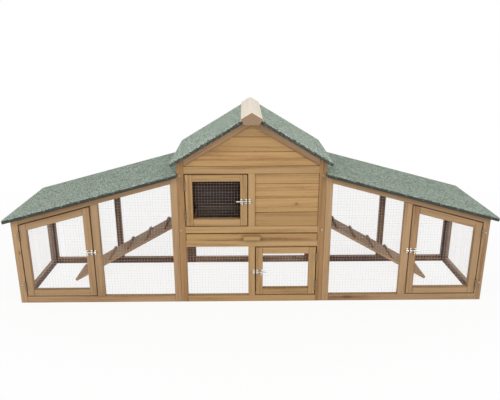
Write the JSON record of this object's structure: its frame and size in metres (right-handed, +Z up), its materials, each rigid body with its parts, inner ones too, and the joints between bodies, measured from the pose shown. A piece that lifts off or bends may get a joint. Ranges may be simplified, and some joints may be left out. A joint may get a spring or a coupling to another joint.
{
  "type": "chicken coop",
  "caption": "Wooden chicken coop: a raised gabled house with net doors and a pull-out tray between two lean-to wire runs with ramps.",
  "frame": {"origin": "on the ground, under the middle of the ridge beam", "axes": "+X to the right along the coop, +Y from the front to the rear, +Z up"},
  "size_m": [2.112, 0.531, 0.8518],
  "materials": {
    "stained_timber": "honey-brown stain, satin",
    "pale_timber": "pale, planed",
    "roofing_felt": "green mineral granules, matt",
    "zinc_steel": "bright zinc plate",
    "galvanised_wire": "galvanised, dull"
  },
  "bodies": {
    "coop": {"bolt_keepers": "zinc_steel", "frame_hinge_leaves": "zinc_steel", "house_front_boards": "stained_timber", "house_front_posts": "stained_timber", "house_front_rails": "stained_timber", "house_gable_boards": "stained_timber", "house_gable_trims": "stained_timber", "house_nets": "galvanised_wire", "house_rear_boards": "stained_timber", "house_rear_frame": "stained_timber", "house_side_boards": "stained_timber", "left_house_felt": "roofing_felt", "left_house_roof_board": "stained_timber", "left_run_end_frame": "stained_timber", "left_run_felt": "roofing_felt", "left_run_front_frame": "stained_timber", "left_run_nets": "galvanised_wire", "left_run_rear_frame": "stained_timber", "left_run_roof_board": "stained_timber", "post_screws": "zinc_steel", "ramp_hinges": "zinc_steel", "ridge_beam": "pale_timber", "right_house_felt": "roofing_felt", "right_house_roof_board": "stained_timber", "right_run_end_frame": "stained_timber", "right_run_felt": "roofing_felt", "right_run_front_frame": "stained_timber", "right_run_nets": "galvanised_wire", "right_run_rear_frame": "stained_timber", "right_run_roof_board": "stained_timber", "tray_runners": "stained_timber"},
    "upper_door": {"upper_door_frame": "stained_timber", "upper_door_net": "galvanised_wire", "upper_door_hinge_leaves": "zinc_steel", "upper_door_latch_plate": "zinc_steel"},
    "upper_door_bolt": {"upper_door_bolt": "zinc_steel"},
    "lower_door": {"lower_door_frame": "stained_timber", "lower_door_net": "galvanised_wire", "lower_door_hinge_leaves": "zinc_steel", "lower_door_latch_plate": "zinc_steel"},
    "lower_door_bolt": {"lower_door_bolt": "zinc_steel"},
    "left_run_door": {"left_run_door_frame": "stained_timber", "left_run_door_net": "galvanised_wire", "left_run_door_hinge_leaves": "zinc_steel", "left_run_door_latch_plate": "zinc_steel"},
    "left_run_door_bolt": {"left_run_door_bolt": "zinc_steel"},
    "right_run_door": {"right_run_door_frame": "stained_timber", "right_run_door_net": "galvanised_wire", "right_run_door_hinge_leaves": "zinc_steel", "right_run_door_latch_plate": "zinc_steel"},
    "right_run_door_bolt": {"right_run_door_bolt": "zinc_steel"},
    "tray": {"tray_front_board": "stained_timber", "tray_pan": "stained_timber", "tray_handle": "stained_timber"},
    "left_ramp": {"left_ramp_plank": "stained_timber", "left_ramp_cleats": "stained_timber"},
    "right_ramp": {"right_ramp_plank": "stained_timber", "right_ramp_cleats": "stained_timber"}
  },
  "joints": [
    {"name": "upper_door_swing", "type": "hinge", "parent": "coop", "child": "upper_door", "pos_m": [-0.282, -0.226, 0.2], "axis": [0, 0, -1], "range_deg": [0, 120]},
    {"name": "upper_door_bolt_slide", "type": "slide", "parent": "upper_door", "child": "upper_door_bolt", "axis": [1, 0, 0], "range_m": [0, 0.0135]},
    {"name": "lower_door_swing", "type": "hinge", "parent": "coop", "child": "lower_door", "pos_m": [0.282, -0.226, 0.2], "axis": [0, 0, 1], "range_deg": [0, 120]},
    {"name": "lower_door_bolt_slide", "type": "slide", "parent": "lower_door", "child": "lower_door_bolt", "axis": [-1, 0, 0], "range_m": [0, 0.0135]},
    {"name": "left_run_door_swing", "type": "hinge", "parent": "coop", "child": "left_run_door", "pos_m": [-0.999, -0.226, 0.2], "axis": [0, 0, -1], "range_deg": [0, 120]},
    {"name": "left_run_door_bolt_slide", "type": "slide", "parent": "left_run_door", "child": "left_run_door_bolt", "axis": [1, 0, 0], "range_m": [0, 0.0135]},
    {"name": "right_run_door_swing", "type": "hinge", "parent": "coop", "child": "right_run_door", "pos_m": [0.999, -0.226, 0.2], "axis": [0, 0, 1], "range_deg": [0, 120]},
    {"name": "right_run_door_bolt_slide", "type": "slide", "parent": "right_run_door", "child": "right_run_door_bolt", "axis": [-1, 0, 0], "range_m": [0, 0.0135]},
    {"name": "tray_slide", "type": "slide", "parent": "coop", "child": "tray", "axis": [0, -1, 0], "range_m": [0, 0.36]},
    {"name": "left_ramp_lift", "type": "hinge", "parent": "coop", "child": "left_ramp", "pos_m": [-0.3215, 0.076, 0.305], "axis": [0, 1, 0], "range_deg": [0, 29.5]},
    {"name": "right_ramp_lift", "type": "hinge", "parent": "coop", "child": "right_ramp", "pos_m": [0.3215, 0.076, 0.305], "axis": [0, -1, 0], "range_deg": [0, 29.5]}
  ]
}
